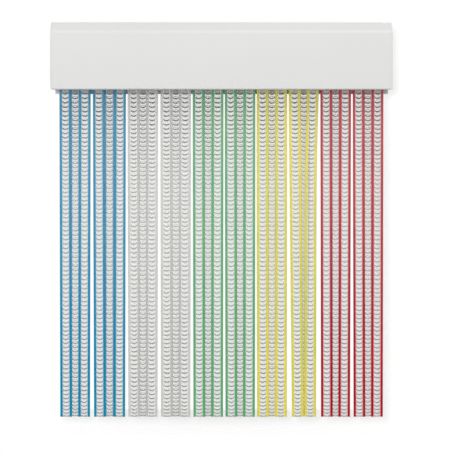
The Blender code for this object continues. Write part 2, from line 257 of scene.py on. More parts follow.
# Finishes of the head and hangers
GRAIN_DEPTH = 0.0001
WHITE_PVC = (0.785, 0.785, 0.775)
WHITE_SPREAD = 0.02
EXTRUSION_CLOUD_SCALE = 14.0
EXTRUSION_STREAKS = (160.0, (0.02, 1, 1))
EXTRUSION_ROUGHNESS = (0.34, 0.44)
EXTRUSION_GLOSS = 0.35
EXTRUSION_GRAIN = 0.15
MOULDING_CLOUD_SCALE = 25.0
MOULDING_GRAIN_SCALE = 2200.0
MOULDING_ROUGHNESS = 0.5
MOULDING_GLOSS = 0.25
MOULDING_GRAIN = 0.12
MILL_GREY = (0.60, 0.60, 0.61)
MILL_SPREAD = 0.16
MILL_STREAKS = (420.0, (0.015, 1, 1), 5.0)
MILL_STREAK_SHARE = 0.7
MILL_STAIN_SCALE = 30.0
MILL_ROUGHNESS = (0.28, 0.55)
MILL_GRAIN = 0.35
NYLON_CREAM = (0.78, 0.77, 0.71)
NYLON_SPREAD = 0.04
NYLON_CLOUD_SCALE = 120.0
NYLON_ROUGHNESS = 0.38
NYLON_GRAIN = 0.1
NYLON_MILKINESS = 0.15
NYLON_LIGHT_REACH = (0.002, 0.002, 0.0018)
ZINC_GREY = (0.44, 0.45, 0.47)
ZINC_SPREAD = 0.1
ZINC_BLOTCH_SCALE = 260.0
ZINC_ROUGHNESS = (0.25, 0.45)

# Studio, with angles in degrees and levels where 1 lights white to white
WALL_SIZE = (0.6, 0.6)
WALL_GAP = 0.25
WALL_VEIL = 0.80
WALL_GLOW = 0.21
RIM_INSET = 0.004
RIM_REACH = 0.012
RIM_WIDTH = 0.024
RIM_FADE_SHARE = 0.6
FLOOR_SIZE = 3.8
FLOOR_DROP = 0.25
FLOOR_SHADE = 0.22
FLOOR_WHITE = (0.92, 0.92, 0.92, 1)
FLOOR_FADE_SHARES = (0.1, 0.45)
FLOOR_BACK_FADE = (-0.15, 0.25)
WORLD_LEVEL = 0.33
LAMPS = (
    # name, azimuth, elevation, distance, size, level
    ("key", -0.9, 0.85, 2.2, 0.07, 0.38),
    ("fill", -12, 10, 3.0, 1.5, 0.17),
    ("top", 20, 60, 3.0, 1.2, 0.28),
    ("left", -80, 15, 3.0, 1.5, 0.35),
    ("right", 80, 15, 3.0, 1.5, 0.35),
    ("back", 160, 30, 3.0, 1.5, 0.30),
)


class Graph:
    """Adds nodes to a tree, each input fed by a value or by another node's output."""

    def __init__(self, tree):
        self.tree = tree

    def feed(self, socket, value):
        """Links a node's output to the socket, or sets the socket's own value."""
        if isinstance(value, bpy.types.NodeSocket):
            self.tree.links.new(value, socket)
        else:
            socket.default_value = value

    def fill(self, node, inputs):
        """Feeds several inputs of one node."""
        for key, value in inputs.items():
            self.feed(node.inputs[key], value)

    def add(self, kind, inputs=None, **settings):
        """A new node with these inputs and settings."""
        node = self.tree.nodes.new(kind)
        for name, value in settings.items():
            setattr(node, name, value)
        self.fill(node, inputs or {})
        return node

    def maths(self, operation, *values):
        node = self.add("ShaderNodeMath", dict(enumerate(values)), operation=operation)
        return node.outputs[0]

    def ramp(self, factor, stops, interpolation="LINEAR"):
        """A value that runs through the stops, each a (place, value) pair."""
        node = self.add("ShaderNodeValToRGB", {"Fac": factor})
        node.color_ramp.interpolation = interpolation
        elements = node.color_ramp.elements
        while len(elements) < len(stops):
            elements.new(0.5)
        for element, (place, value) in zip(elements, stops):
            element.position = place
            element.color = (value, value, value, 1.0)
        return node.outputs["Color"]

    def smooth_step(self, value, start, end):
        """1 before start, 0 after end, and a smooth fall between them."""
        node = self.add(
            "ShaderNodeMapRange", {"Value": value, 1: start, 2: end, 3: 1.0, 4: 0.0},
            interpolation_type="SMOOTHSTEP",
        )
        return node.outputs["Result"]

    def mix_colour(self, factor, first, second):
        """The first colour where the factor is 0, the second where it is 1."""
        node = self.add(
            "ShaderNodeMix", {0: factor, 6: first, 7: second}, data_type="RGBA"
        )
        return node.outputs[2]


# Finishes


def new_finish(name):
    """A material with one Principled shader, and the graph that feeds it."""
    material = bpy.data.materials.new(name)
    material.use_nodes = True
    shader = material.node_tree.nodes["Principled BSDF"]
    return material, Graph(material.node_tree), shader


def object_noise(graph, scale, stretch=(1, 1, 1), detail=3.0):
    """Noise fixed to the object, its scale multiplied by the stretch on each axis."""
    place = graph.add("ShaderNodeTexCoord").outputs["Object"]
    mapping = graph.add("ShaderNodeMapping", {"Vector": place, "Scale": stretch})
    noise = graph.add(
        "ShaderNodeTexNoise",
        {"Vector": mapping.outputs["Vector"], "Scale": scale, "Detail": detail},
    )
    return noise.outputs["Fac"]


def shade_of(colour, level):
    """The colour made darker or lighter by a level, as a solid colour."""
    return (*(channel * level for channel in colour), 1.0)


def uneven_colour(graph, colour, factor, spread):
    """The colour, a little darker or lighter where the factor is low or high."""
    return graph.mix_colour(
        factor, shade_of(colour, 1 - spread), shade_of(colour, 1 + spread)
    )


def between(graph, factor, limits):
    """The first limit where the factor is 0, the second where it is 1."""
    low, high = limits
    return graph.ramp(factor, ((0, low), (1, high)))


def bump(graph, height, strength, distance=GRAIN_DEPTH):
    """A normal that follows the height, for a grain too fine to be a shape."""
    node = graph.add(
        "ShaderNodeBump", {"Height": height, "Strength": strength, "Distance": distance}
    )
    return node.outputs["Normal"]


def white_extrusion():
    """Satin white PVC, with the faint long streaks that a die leaves."""
    material, graph, shader = new_finish("white_extrusion")
    streaks = object_noise(graph, *EXTRUSION_STREAKS)
    cloud = object_noise(graph, EXTRUSION_CLOUD_SCALE)
    graph.fill(shader, {
        "Base Color": uneven_colour(graph, WHITE_PVC, cloud, WHITE_SPREAD),
        "Roughness": between(graph, streaks, EXTRUSION_ROUGHNESS),
        "Specular IOR Level": EXTRUSION_GLOSS,
        "Normal": bump(graph, streaks, EXTRUSION_GRAIN),
    })
    return material


def white_moulding():
    """The end caps' white PVC, with a fine spark-eroded grain."""
    material, graph, shader = new_finish("white_moulding")
    grain = object_noise(graph, MOULDING_GRAIN_SCALE, detail=2.0)
    cloud = object_noise(graph, MOULDING_CLOUD_SCALE)
    graph.fill(shader, {
        "Base Color": uneven_colour(graph, WHITE_PVC, cloud, WHITE_SPREAD),
        "Roughness": MOULDING_ROUGHNESS,
        "Specular IOR Level": MOULDING_GLOSS,
        "Normal": bump(graph, grain, MOULDING_GRAIN),
    })
    return material


def mill_aluminium():
    """Bare aluminium, dulled in streaks along the rail and in stains."""
    material, graph, shader = new_finish("mill_aluminium")
    streaks = object_noise(graph, *MILL_STREAKS)
    stains = object_noise(graph, MILL_STAIN_SCALE)
    stained = graph.maths("MULTIPLY", stains, 1 - MILL_STREAK_SHARE)
    wear = graph.maths("MULTIPLY_ADD", streaks, MILL_STREAK_SHARE, stained)
    graph.fill(shader, {
        "Base Color": uneven_colour(graph, MILL_GREY, wear, MILL_SPREAD),
        "Metallic": 1.0,
        "Roughness": between(graph, streaks, MILL_ROUGHNESS),
        "Normal": bump(graph, streaks, MILL_GRAIN),
    })
    return material


def natural_nylon():
    """Uncoloured nylon, slightly milky."""
    material, graph, shader = new_finish("natural_nylon")
    cloud = object_noise(graph, NYLON_CLOUD_SCALE)
    graph.fill(shader, {
        "Base Color": uneven_colour(graph, NYLON_CREAM, cloud, NYLON_SPREAD),
        "Roughness": NYLON_ROUGHNESS,
        "Subsurface Weight": NYLON_MILKINESS,
        "Subsurface Radius": NYLON_LIGHT_REACH,
        "Normal": bump(graph, cloud, NYLON_GRAIN, 2 * GRAIN_DEPTH),
    })
    return material


def zinc_plate():
    """Plated steel with dull and bright blotches."""
    material, graph, shader = new_finish("zinc_plate")
    blotches = object_noise(graph, ZINC_BLOTCH_SCALE)
    graph.fill(shader, {
        "Base Color": uneven_colour(graph, ZINC_GREY, blotches, ZINC_SPREAD),
        "Metallic": 1.0,
        "Roughness": between(graph, blotches, ZINC_ROUGHNESS),
    })
    return material


def light_stopped(graph, solid):
    """How solid the web is: less to light, which it bends more than it stops."""
    shaded = graph.add("ShaderNodeLightPath").outputs["Is Shadow Ray"]
    kept = graph.maths("MULTIPLY_ADD", shaded, WEB_SHADOW_SHARE - 1.0, 1.0)
    return graph.maths("MULTIPLY", kept, solid)


def cord_finish(name, colour, row):
    """Soft PVC, with painted light that makes it paler near the top, its colour uneven along
    its length.
    """
    material, graph, shader = new_finish(f"{name}_cord_{row}")
    place = graph.add("ShaderNodeTexCoord").outputs["Object"]
    height = graph.add("ShaderNodeSeparateXYZ", {"Vector": place}).outputs["Z"]
    # Painted light: the cord is paler near the top, as if more light fell there
    top_light = graph.smooth_step(graph.maths("MULTIPLY", height, -1.0), *TOP_LIGHT_DROPS)
    paler_top = tuple(channel + (1 - channel) * CORD_TOP_LIGHT for channel in colour)
    depth = graph.mix_colour(top_light, (*colour, 1.0), (*paler_top, 1.0))
    patches = graph.smooth_step(object_noise(graph, *CORD_PATCHES), *PATCH_EDGES)
    clear = name == "clear_pvc"
    darker, lighter = CLEAR_DRIFT if clear else COLOUR_DRIFT
    drift = graph.mix_colour(patches, (*darker, 1.0), (*lighter, 1.0))
    base = graph.add("ShaderNodeVectorMath", {0: depth, 1: drift}, operation="MULTIPLY")
    flow = object_noise(graph, *CORD_FLOW)
    graph.fill(shader, {
        "Base Color": base.outputs["Vector"],
        "Roughness": between(graph, flow, CORD_ROUGHNESS),
        "Specular IOR Level": CORD_GLOSS,
        "Alpha": (CLEAR_ALPHAS if clear else CORD_ALPHAS)[row],
        "Normal": bump(graph, flow, CORD_GRAIN),
    })
    return material


def web_finish(name, cord_colour, place_in_row):
    """Clear PVC, with painted shade along the lower edge of each rung, and the cords' colour
    painted beside them as a glow.
    """
    material, graph, shader = new_finish(f"{name}_web_{place_in_row}")
    row = graph.add("ShaderNodeAttribute", attribute_name="rung_row").outputs["Fac"]
    across = graph.add("ShaderNodeAttribute", attribute_name="across").outputs["Fac"]
    offset = graph.maths("ABSOLUTE", across)
    phase = graph.maths("FRACT", graph.maths("SUBTRACT", row, RUNG_LINE_PHASE - 0.5))
    line = graph.ramp(phase, RUNG_LINE_STOPS, "EASE")
    arch = graph.maths("MULTIPLY", graph.maths("POWER", offset, RUNG_SAG_POWER), ARCH)
    above = graph.maths("ADD", phase, 1.5)
    upper = graph.maths("FRACT", graph.maths("SUBTRACT", above, arch))
    second = graph.ramp(upper, SECOND_LINE_STOPS, "EASE")
    faint = graph.maths("MULTIPLY", second, SECOND_LINES[place_in_row])
    along = graph.maths("DIVIDE", row, float(RUNGS))
    # Painted shade along the tape, darkest under the pelmet
    shade_along = graph.ramp(along, RUNG_SHADE_ALONG_STOPS)
    strength = graph.maths("MULTIPLY", shade_along, LINE_LEVELS[place_in_row])
    inside = graph.smooth_step(offset, *BORDER_SHARES)
    stroke = graph.smooth_step(offset, *LINE_END_SHARES)
    shade_noise = graph.ramp(object_noise(graph, RUNG_SHADE_NOISE_SCALE), RUNG_SHADE_NOISE_STOPS)
    # Painted shade: each rung's dark line stands in for refraction at its step, with a faint
    # second line, uneven in strength
    painted_shade = graph.maths("MULTIPLY", graph.maths("MAXIMUM", line, faint), strength)
    painted_shade = graph.maths("MULTIPLY", graph.maths("MULTIPLY", painted_shade, stroke), shade_noise)
    tinted = [
        web + (cord - web) * WEB_TINT for web, cord in zip(WEB_COLOUR, cord_colour)
    ]
    # Painted light: the web beside each cord takes the cord's colour as a glow
    vivid = [channel / max(cord_colour) for channel in cord_colour]
    glow_beside = [1 + (channel - 1) * CORD_GLOW_TINT for channel in vivid]
    clear = graph.mix_colour(inside, (*glow_beside, 1.0), (*tinted, 1.0))
    body = graph.add(
        "ShaderNodeMapRange", {"Value": inside, 3: EDGE_ALPHA, 4: WEB_ALPHAS[place_in_row]}
    )
    alpha = graph.add(
        "ShaderNodeMapRange", {"Value": painted_shade, 3: body.outputs["Result"], 4: RUNG_SHADE_ALPHA}
    )
    graph.fill(shader, {
        "Base Color": graph.mix_colour(painted_shade, clear, (*RUNG_SHADE_COLOUR, 1.0)),
        "Alpha": light_stopped(graph, alpha.outputs["Result"]),
        "Roughness": WEB_ROUGHNESS,
        "Specular IOR Level": WEB_GLOSS,
    })
    return material


# Shapes


def new_piece(name, mesh, body, slot, *replaced):
    """A piece that rides on a body, and stands for the nodes it replaces."""
    piece = bpy.data.objects.new(name, mesh)
    bpy.context.scene.collection.objects.link(piece)
    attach(piece, body)
    if replaced:
        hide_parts(*replaced)
    return piece


def tape_tree():
    """A ribbed web between two cords, below the eye that they hang by."""
    tree = bpy.data.node_groups.new("ribbed_tape", "GeometryNodeTree")
    add_socket = tree.interface.new_socket
    add_socket("Geometry", in_out="OUTPUT", socket_type="NodeSocketGeometry")
    for label, kind, value in (
        ("Rungs", "NodeSocketInt", RUNGS),
        ("Foot Drop", "NodeSocketFloat", 0.3),
        ("Cord Spacing", "NodeSocketFloat", CORD_SPACING),
        ("Cord Radius", "NodeSocketFloat", CORD_RADIUS),
        ("Web Half Width", "NodeSocketFloat", WEB_HALF_WIDTH),
        ("Web Wall", "NodeSocketFloat", WEB_WALL),
        ("Rung Rise", "NodeSocketFloat", RUNG_RISE),
        ("Rung Sag", "NodeSocketFloat", RUNG_SAG),
        ("Bow", "NodeSocketFloat", 0.0),
        ("Twist", "NodeSocketFloat", 0.0),
        ("Seed", "NodeSocketFloat", 0.0),
    ):
        add_socket(label, in_out="INPUT", socket_type=kind).default_value = value
    for label in ("Web Finish", "Cord Finish"):
        add_socket(label, in_out="INPUT", socket_type="NodeSocketMaterial")
    graph = Graph(tree)
    given = graph.add("NodeGroupInput").outputs
    join = graph.add("GeometryNodeJoinGeometry")
    for part in (web_nodes(graph, given), cord_nodes(graph, given), eye_nodes(graph, given)):
        tree.links.new(part, join.inputs["Geometry"])
    hung = twist_nodes(graph, given, join.outputs["Geometry"])
    real = graph.add("GeometryNodeRealizeInstances", {"Geometry": hung})
    clear = graph.add(
        "GeometryNodeSetMaterial",
        {"Geometry": real.outputs["Geometry"], "Material": given["Web Finish"]},
    )
    on_cord = graph.add(
        "GeometryNodeInputNamedAttribute", {"Name": "cord"}, data_type="BOOLEAN"
    )
    coloured = graph.add(
        "GeometryNodeSetMaterial",
        {"Geometry": clear.outputs["Geometry"], "Selection": on_cord.outputs["Attribute"],
         "Material": given["Cord Finish"]},
    )
    result = graph.add("NodeGroupOutput")
    tree.links.new(coloured.outputs["Geometry"], result.inputs["Geometry"])
    return tree


def web_nodes(graph, given):
    """A sheet of scalloped rungs, given its thickness by an extruded copy."""
    rows = graph.maths("MULTIPLY", given["Rungs"], ROWS_PER_RUNG)
    grid = graph.add(
        "GeometryNodeMeshGrid",
        {"Size X": 2.0, "Size Y": 1.0, "Vertices X": COLUMNS + 1,
         "Vertices Y": graph.maths("ADD", rows, 1)},
    )
    place = graph.add(
        "ShaderNodeSeparateXYZ", {"Vector": graph.add("GeometryNodeInputPosition").outputs[0]}
    ).outputs
    across = place["X"]
    along = graph.maths("SUBTRACT", 0.5, place["Y"])
    row = graph.maths("MULTIPLY", along, given["Rungs"])
    sheet = grid.outputs["Mesh"]
    for label, value in (("across", across), ("rung_row", row)):
        store = graph.add(
            "GeometryNodeStoreNamedAttribute",
            {"Geometry": sheet, "Name": label, "Value": value},
            data_type="FLOAT", domain="POINT",
        )
        sheet = store.outputs["Geometry"]
    curve = graph.add("ShaderNodeFloatCurve", {"Value": along})
    points = curve.mapping.curves[0].points
    while len(points) < len(RUNG_PLACE_SHARES):
        points.new(0.5, 0.5)
    for point, shares in zip(points, RUNG_PLACE_SHARES):
        point.location = shares
        point.handle_type = "AUTO"
    run = graph.maths("SUBTRACT", given["Foot Drop"], WEB_TOP_DROP)
    drop = graph.maths("MULTIPLY_ADD", curve.outputs["Value"], run, WEB_TOP_DROP)
    phase = graph.maths("FRACT", row)
    rising = graph.maths("DIVIDE", phase, 1 - RUNG_STEP_SHARE)
    falling = graph.maths("DIVIDE", graph.maths("SUBTRACT", 1.0, phase), RUNG_STEP_SHARE)
    spread = graph.maths("POWER", graph.maths("ABSOLUTE", across), RUNG_SAG_POWER)
    inside = graph.maths("SUBTRACT", 1.0, graph.maths("POWER", spread, 3.0))
    rise = graph.maths("MULTIPLY", graph.maths("MINIMUM", rising, falling), inside)
    forward = graph.maths("MULTIPLY_ADD", rise, given["Rung Rise"], RUNG_VALLEY)
    to_foot = graph.maths("SUBTRACT", given["Foot Drop"], drop)
    room = graph.maths("MINIMUM", to_foot, graph.maths("SUBTRACT", drop, WEB_TOP_DROP))
    wander = graph.add(
        "ShaderNodeTexNoise",
        {"W": graph.maths("MULTIPLY_ADD", row, RUNG_WANDER_STEP, given["Seed"]),
         "Scale": 1.0, "Detail": 1.0},
        noise_dimensions="1D",
    )
    swing = graph.maths("MULTIPLY_ADD", wander.outputs["Fac"], SAG_SPREAD, SAG_LEAST)
    sag = graph.maths("MULTIPLY", given["Rung Sag"], swing)
    slope = graph.maths("MULTIPLY_ADD", wander.outputs["Color"], RUNG_TILT, -RUNG_TILT / 2)
    tilt = graph.maths("MULTIPLY", slope, across)
    bend = graph.maths("MULTIPLY_ADD", sag, spread, graph.maths("MAXIMUM", tilt, 0.0))
    lift = graph.maths("MINIMUM", bend, graph.maths("MULTIPLY", room, LIFT_SHARE))
    position = graph.add(
        "ShaderNodeCombineXYZ",
        {"X": graph.maths("MULTIPLY", across, given["Web Half Width"]),
         "Y": graph.maths("MULTIPLY", forward, -1.0),
         "Z": graph.maths("SUBTRACT", lift, drop)},
    )
    front = graph.add(
        "GeometryNodeSetPosition", {"Geometry": sheet, "Position": position.outputs[0]}
    ).outputs["Geometry"]
    depth = graph.add("ShaderNodeCombineXYZ", {"Y": given["Web Wall"]})
    back = graph.add(
        "GeometryNodeExtrudeMesh",
        {"Mesh": front, "Offset": depth.outputs[0], "Offset Scale": 1.0,
         "Individual": False},
    )
    flipped = graph.add("GeometryNodeFlipFaces", {"Mesh": back.outputs["Mesh"]})
    shell = graph.add("GeometryNodeJoinGeometry")
    graph.tree.links.new(front, shell.inputs["Geometry"])
    graph.tree.links.new(flipped.outputs["Mesh"], shell.inputs["Geometry"])
    closed = graph.add(
        "GeometryNodeMergeByDistance",
        {"Geometry": shell.outputs["Geometry"], "Distance": MERGE_DISTANCE},
    )
    return graph.add(
        "GeometryNodeSetShadeSmooth", {"Geometry": closed.outputs["Geometry"]}
    ).outputs["Geometry"]


def cord_nodes(graph, given):
    """Two round cords with closed ends, slightly uneven in thickness."""
    half = graph.maths("DIVIDE", given["Cord Spacing"], 2.0)
    join = graph.add("GeometryNodeJoinGeometry")
    for side in (-1.0, 1.0):
        x = graph.maths("MULTIPLY", half, side)
        top = graph.add("ShaderNodeCombineXYZ", {"X": x, "Z": -CORD_TOP_DROP})
        foot = graph.add(
            "ShaderNodeCombineXYZ",
            {"X": x, "Z": graph.maths("MULTIPLY", given["Foot Drop"], -1.0)},
        )
        line = graph.add(
            "GeometryNodeCurvePrimitiveLine",
            {"Start": top.outputs[0], "End": foot.outputs[0]},
        )
        graph.tree.links.new(line.outputs["Curve"], join.inputs["Geometry"])
    path = graph.add(
        "GeometryNodeResampleCurve",
        {"Curve": join.outputs["Geometry"], "Count": CORD_STATIONS},
    )
    spot = graph.add("GeometryNodeInputPosition").outputs[0]
    noise = graph.add(
        "ShaderNodeTexNoise",
        {"Vector": spot, "W": given["Seed"], "Scale": CORD_NOISE_SCALE, "Detail": 1.0},
        noise_dimensions="4D",
    )
    radius = graph.maths("MULTIPLY_ADD", noise.outputs["Fac"], CORD_SPREAD, CORD_LEAST)
    uneven = graph.add(
        "GeometryNodeSetCurveRadius", {"Curve": path.outputs["Curve"], "Radius": radius}
    )
    ring = graph.add(
        "GeometryNodeCurvePrimitiveCircle",
        {"Resolution": CORD_SIDES, "Radius": given["Cord Radius"]},
    )
    tube = graph.add(
        "GeometryNodeCurveToMesh",
        {"Curve": uneven.outputs["Curve"], "Profile Curve": ring.outputs["Curve"],
         "Scale": radius, "Fill Caps": True},
    )
    smooth = graph.add("GeometryNodeSetShadeSmooth", {"Geometry": tube.outputs["Mesh"]})
    return graph.add(
        "GeometryNodeStoreNamedAttribute",
        {"Geometry": smooth.outputs["Geometry"], "Name": "cord", "Value": True},
        data_type="BOOLEAN", domain="FACE",
    ).outputs["Geometry"]


def eye_nodes(graph, given):
    """The loop at the top of the web, which turns on the hanger's bar."""
    ring = graph.add(
        "GeometryNodeCurvePrimitiveCircle",
        {"Resolution": EYE_SIDES, "Radius": EYE_BORE_RADIUS + EYE_WALL / 2},
    )
    upright = graph.add(
        "GeometryNodeTransform",
        {"Geometry": ring.outputs["Curve"], "Rotation": (0, math.pi / 2, 0)},
    )
    band = graph.add(
        "GeometryNodeCurvePrimitiveQuadrilateral",
        {"Width": EYE_WALL, "Height": graph.maths("MULTIPLY", given["Web Half Width"], 2.0)},
    )
    return graph.add(
        "GeometryNodeCurveToMesh",
        {"Curve": upright.outputs["Geometry"], "Profile Curve": band.outputs["Curve"]},
    ).outputs["Mesh"]


def twist_nodes(graph, given, geometry):
    """Turns the tape about its left cord, steadily to the foot, and bows it to the left."""
    spot = graph.add("GeometryNodeInputPosition").outputs[0]
    height = graph.add("ShaderNodeSeparateXYZ", {"Vector": spot}).outputs["Z"]
    share = graph.maths("DIVIDE", graph.maths("MULTIPLY", height, -1.0), given["Foot Drop"])
    share = graph.maths("MAXIMUM", share, 0.0)
    angle = graph.maths("MULTIPLY", share, given["Twist"])
    leaving = graph.maths("MINIMUM", graph.maths("DIVIDE", share, BOW_SHARE), 1.0)
    gone = graph.maths("SINE", graph.maths("MULTIPLY", leaving, math.pi / 2))
    bowed = graph.maths("MULTIPLY", graph.maths("SUBTRACT", share, gone), given["Bow"])
    edge = graph.maths("DIVIDE", given["Cord Spacing"], -2.0)
    centre = graph.add("ShaderNodeCombineXYZ", {"X": edge})
    spun = graph.add(
        "ShaderNodeVectorRotate",
        {"Vector": spot, "Center": centre.outputs[0], "Angle": angle},
        rotation_type="Z_AXIS",
    )
    aside = graph.add("ShaderNodeCombineXYZ", {"X": bowed})
    return graph.add(
        "GeometryNodeSetPosition",
        {"Geometry": geometry, "Position": spun.outputs["Vector"],
         "Offset": aside.outputs[0]},
    ).outputs["Geometry"]


def evaluated_mesh(tree, name, values):
    """The mesh that a tree makes for these input values."""
    carrier = bpy.data.objects.new(name, bpy.data.meshes.new(name))
    bpy.context.scene.collection.objects.link(carrier)
    modifier = carrier.modifiers.new(name, "NODES")
    modifier.node_group = tree
    for item in tree.interface.items_tree:
        if item.item_type == "SOCKET" and item.in_out == "INPUT" and item.name in values:
            modifier[item.identifier] = values[item.name]
    graph = bpy.context.evaluated_depsgraph_get()
    mesh = bpy.data.meshes.new_from_object(carrier.evaluated_get(graph))
    bpy.data.objects.remove(carrier)
    mesh.name = name
    return mesh


def joint_place(name):
    """The centre of a joint at rest."""
    return next(Vector(joint["pos_m"]) for joint in frame["joints"] if joint["name"] == name)


def foot_drift(node):
    """How far a tape's foot hangs to the right of its eye, read from its box."""
    low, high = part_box(node)
    return low.x + high.x - 2 * joint_place(node + "_swing").x


def hang_tapes():
    """One ribbed tape from each eye, leaning as its solid does."""
    tree = tape_tree()
    webs = {}
    cords = {}
    for slot, colour in CORD_COLOURS.items():
        for row in CORD_ALPHAS:
            webs[slot, row] = web_finish(slot, colour, row)
            cords[slot, row] = cord_finish(slot, colour, row)
    slots = {part["node"]: part["material_slot"] for part in frame["record"]["subparts"]}
    tapes = sorted(name for name in frame["bodies"] if name.startswith("tape"))
    foot_drop = min(joint_place(node + "_swing").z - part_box(node)[0].z for node in tapes)
    for seed, node in enumerate(tapes):
        eye = joint_place(node + "_swing")
        twisted = node == TWISTED_TAPE
        drift = foot_drift(node.replace("middle", "left") if twisted else node)
        row = "middle" if node.endswith("middle") else "front"
        mesh = evaluated_mesh(
            tree, node + "_ribbed",
            {"Foot Drop": foot_drop, "Twist": TWIST if twisted else 0.0,
             "Bow": BOW if node == BOWED_TAPE else 0.0, "Seed": float(seed),
             "Web Finish": webs[slots[node], row], "Cord Finish": cords[slots[node], row]},
        )
        lean = Matrix.Rotation(-math.atan(drift / foot_drop), 4, "Y")
        mesh.transform(Matrix.Translation(eye) @ lean)
        new_piece(node + "_ribbed", mesh, node, slots[node], node)


# Head


def arc(centre, radius, start, end, step=ARC_STEP):
    """Points on an arc in the plane of an outline, from the start to the end angle."""
    steps = max(round(abs(end - start) / step), 1)
    angles = [start + (end - start) * index / steps for index in range(steps + 1)]
    return [
        (centre[0] + radius * math.cos(angle), centre[1] + radius * math.sin(angle))
        for angle in angles
    ]


def inset_path(path, wall):
    """The same path moved by one wall to its left, with mitred corners."""
    sides = []
    for (x0, y0), (x1, y1) in zip(path, path[1:]):
        run = math.hypot(x1 - x0, y1 - y0)
        sides.append(((y0 - y1) / run, (x1 - x0) / run))
    moved = []
    for index, (x, y) in enumerate(path):
        before = sides[max(index - 1, 0)]
        after = sides[min(index, len(sides) - 1)]
        spread = 1 + before[0] * after[0] + before[1] * after[1]
        shift = [wall * (before[axis] + after[axis]) / spread for axis in range(2)]
        moved.append((x + shift[0], y + shift[1]))
    return moved


def sweep(shape, rings):
    """Adds a closed solid through rings of points, with its two end rings filled."""
    loops = [[shape.verts.new(point) for point in ring] for ring in rings]
    count = len(rings[0])
    for low, high in zip(loops, loops[1:]):
        for index in range(count):
            after = (index + 1) % count
            shape.faces.new((low[index], low[after], high[after], high[index]))
    shape.faces.new(loops[0])
    shape.faces.new(loops[-1])


def prism(shape, outline, x_low, x_high):
    """Adds a solid with one (y, z) outline, from x_low to x_high."""
    sweep(shape, [[(x, y, z) for y, z in outline] for x in (x_low, x_high)])


def turned(shape, profile, sides, axis, centre=(0, 0, 0)):
    """Adds a solid of rings (place along the axis, radius) about a line along an axis."""
    rings = []
    for along, radius in profile:
        ring = []
        for side in range(sides):
            angle = 2 * math.pi * side / sides
            point = [radius * math.cos(angle), radius * math.sin(angle)]
            point.insert(axis, along)
            ring.append([value + centre[index] for index, value in enumerate(point)])
        rings.append(ring)
    sweep(shape, rings)


def soften_edges(shape, width, segments):
    """Rounds the sharp edges of a shape."""
    sharp = [edge for edge in shape.edges if edge.calc_face_angle(0) > SHARP_ABOVE]
    bmesh.ops.bevel(
        shape, geom=sharp, offset=width, segments=segments, profile=0.5, affect="EDGES",
        clamp_overlap=True,
    )


def corner_places(element):
    """Where the corners of an edge or a face lie, or a corner itself, as a sorting key."""
    corners = [element] if isinstance(element, bmesh.types.BMVert) else element.verts
    return sorted(tuple(corner.co) for corner in corners)


def sort_by_place(shape):
    """Gives a shape a fixed order, which it loses when it grows after a bevel."""
    for elements in (shape.verts, shape.edges, shape.faces):
        for index, element in enumerate(sorted(elements, key=corner_places)):
            element.index = index
        elements.sort()


def finished_mesh(shape, name, material, sharp=SMOOTH_BELOW):
    """A mesh with faces outward, smooth but for its sharp edges, in one finish."""
    bmesh.ops.recalc_face_normals(shape, faces=shape.faces)
    mesh = bpy.data.meshes.new(name)
    shape.to_mesh(mesh)
    shape.free()
    mesh.shade_smooth()
    mesh.set_sharp_from_angle(angle=sharp)
    mesh.materials.append(material)
    return mesh


def head_place(depth, level):
    """The Y and Z of a point given by its depth from the wall and its level."""
    return (-depth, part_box("pelmet")[0].z + level)


def pelmet_size():
    """How deep the pelmet is from the wall, and how high."""
    low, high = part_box("pelmet")
    return -low.y, high.z - low.z


def front_path():
    """The pelmet's outside from its bottom front edge, over the shoulder, to the top."""
    depth, height = pelmet_size()
    knee = arc(
        (depth - SHOULDER_RADIUS, height - SHOULDER_HEIGHT), SHOULDER_RADIUS,
        0, SHOULDER_LEAN,
    )
    crown_rise = TOP_RADIUS * (1 - math.sin(SHOULDER_LEAN))
    lean_rise = height - crown_rise - knee[-1][1]
    crown_start = knee[-1][0] - lean_rise * math.tan(SHOULDER_LEAN)
    crown = arc(
        (crown_start - TOP_RADIUS * math.cos(SHOULDER_LEAN), height - TOP_RADIUS),
        TOP_RADIUS, SHOULDER_LEAN, math.pi / 2,
    )
    return knee + crown


def pelmet_outline():
    """The pelmet's section, with its bottom lip and the hook that holds it on the rail."""
    depth, height = pelmet_size()
    edge = arc(
        (depth - PELMET_EDGE_RADIUS, PELMET_EDGE_RADIUS), PELMET_EDGE_RADIUS,
        -math.pi / 2, 0, COARSE_ARC_STEP,
    )
    lip_end = (depth - PELMET_WALL - PELMET_LIP, 0)
    front = [*front_path(), (WALL_CLEARANCE, height)]
    outside = [lip_end, *edge, *front]
    inside = inset_path([lip_end, (depth, 0), *front], PELMET_WALL)
    roof = height - PELMET_WALL
    foot_top = roof - FLANGE_WALL - 2 * FIT_GAP
    leg = FIT_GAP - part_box("head_rail")[0].y
    foot = leg - HOOK_REACH
    hook = [
        (leg, roof),
        (leg, foot_top),
        (foot, foot_top),
        (foot, foot_top - HOOK_WALL),
        (leg + HOOK_WALL, foot_top - HOOK_WALL),
        (leg + HOOK_WALL, roof),
    ]
    return [head_place(*point) for point in outside + [inside[-1]] + hook + inside[-2::-1]]


def cover_head():
    """The pelmet, drawn close up to its two end caps."""
    low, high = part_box("pelmet")
    shape = bmesh.new()
    stretch = FIT_GAP - SEAM
    prism(shape, pelmet_outline(), low.x - stretch, high.x + stretch)
    mesh = finished_mesh(shape, "pelmet_cover", white_extrusion())
    new_piece("pelmet_cover", mesh, "head", "white_pvc", "pelmet")


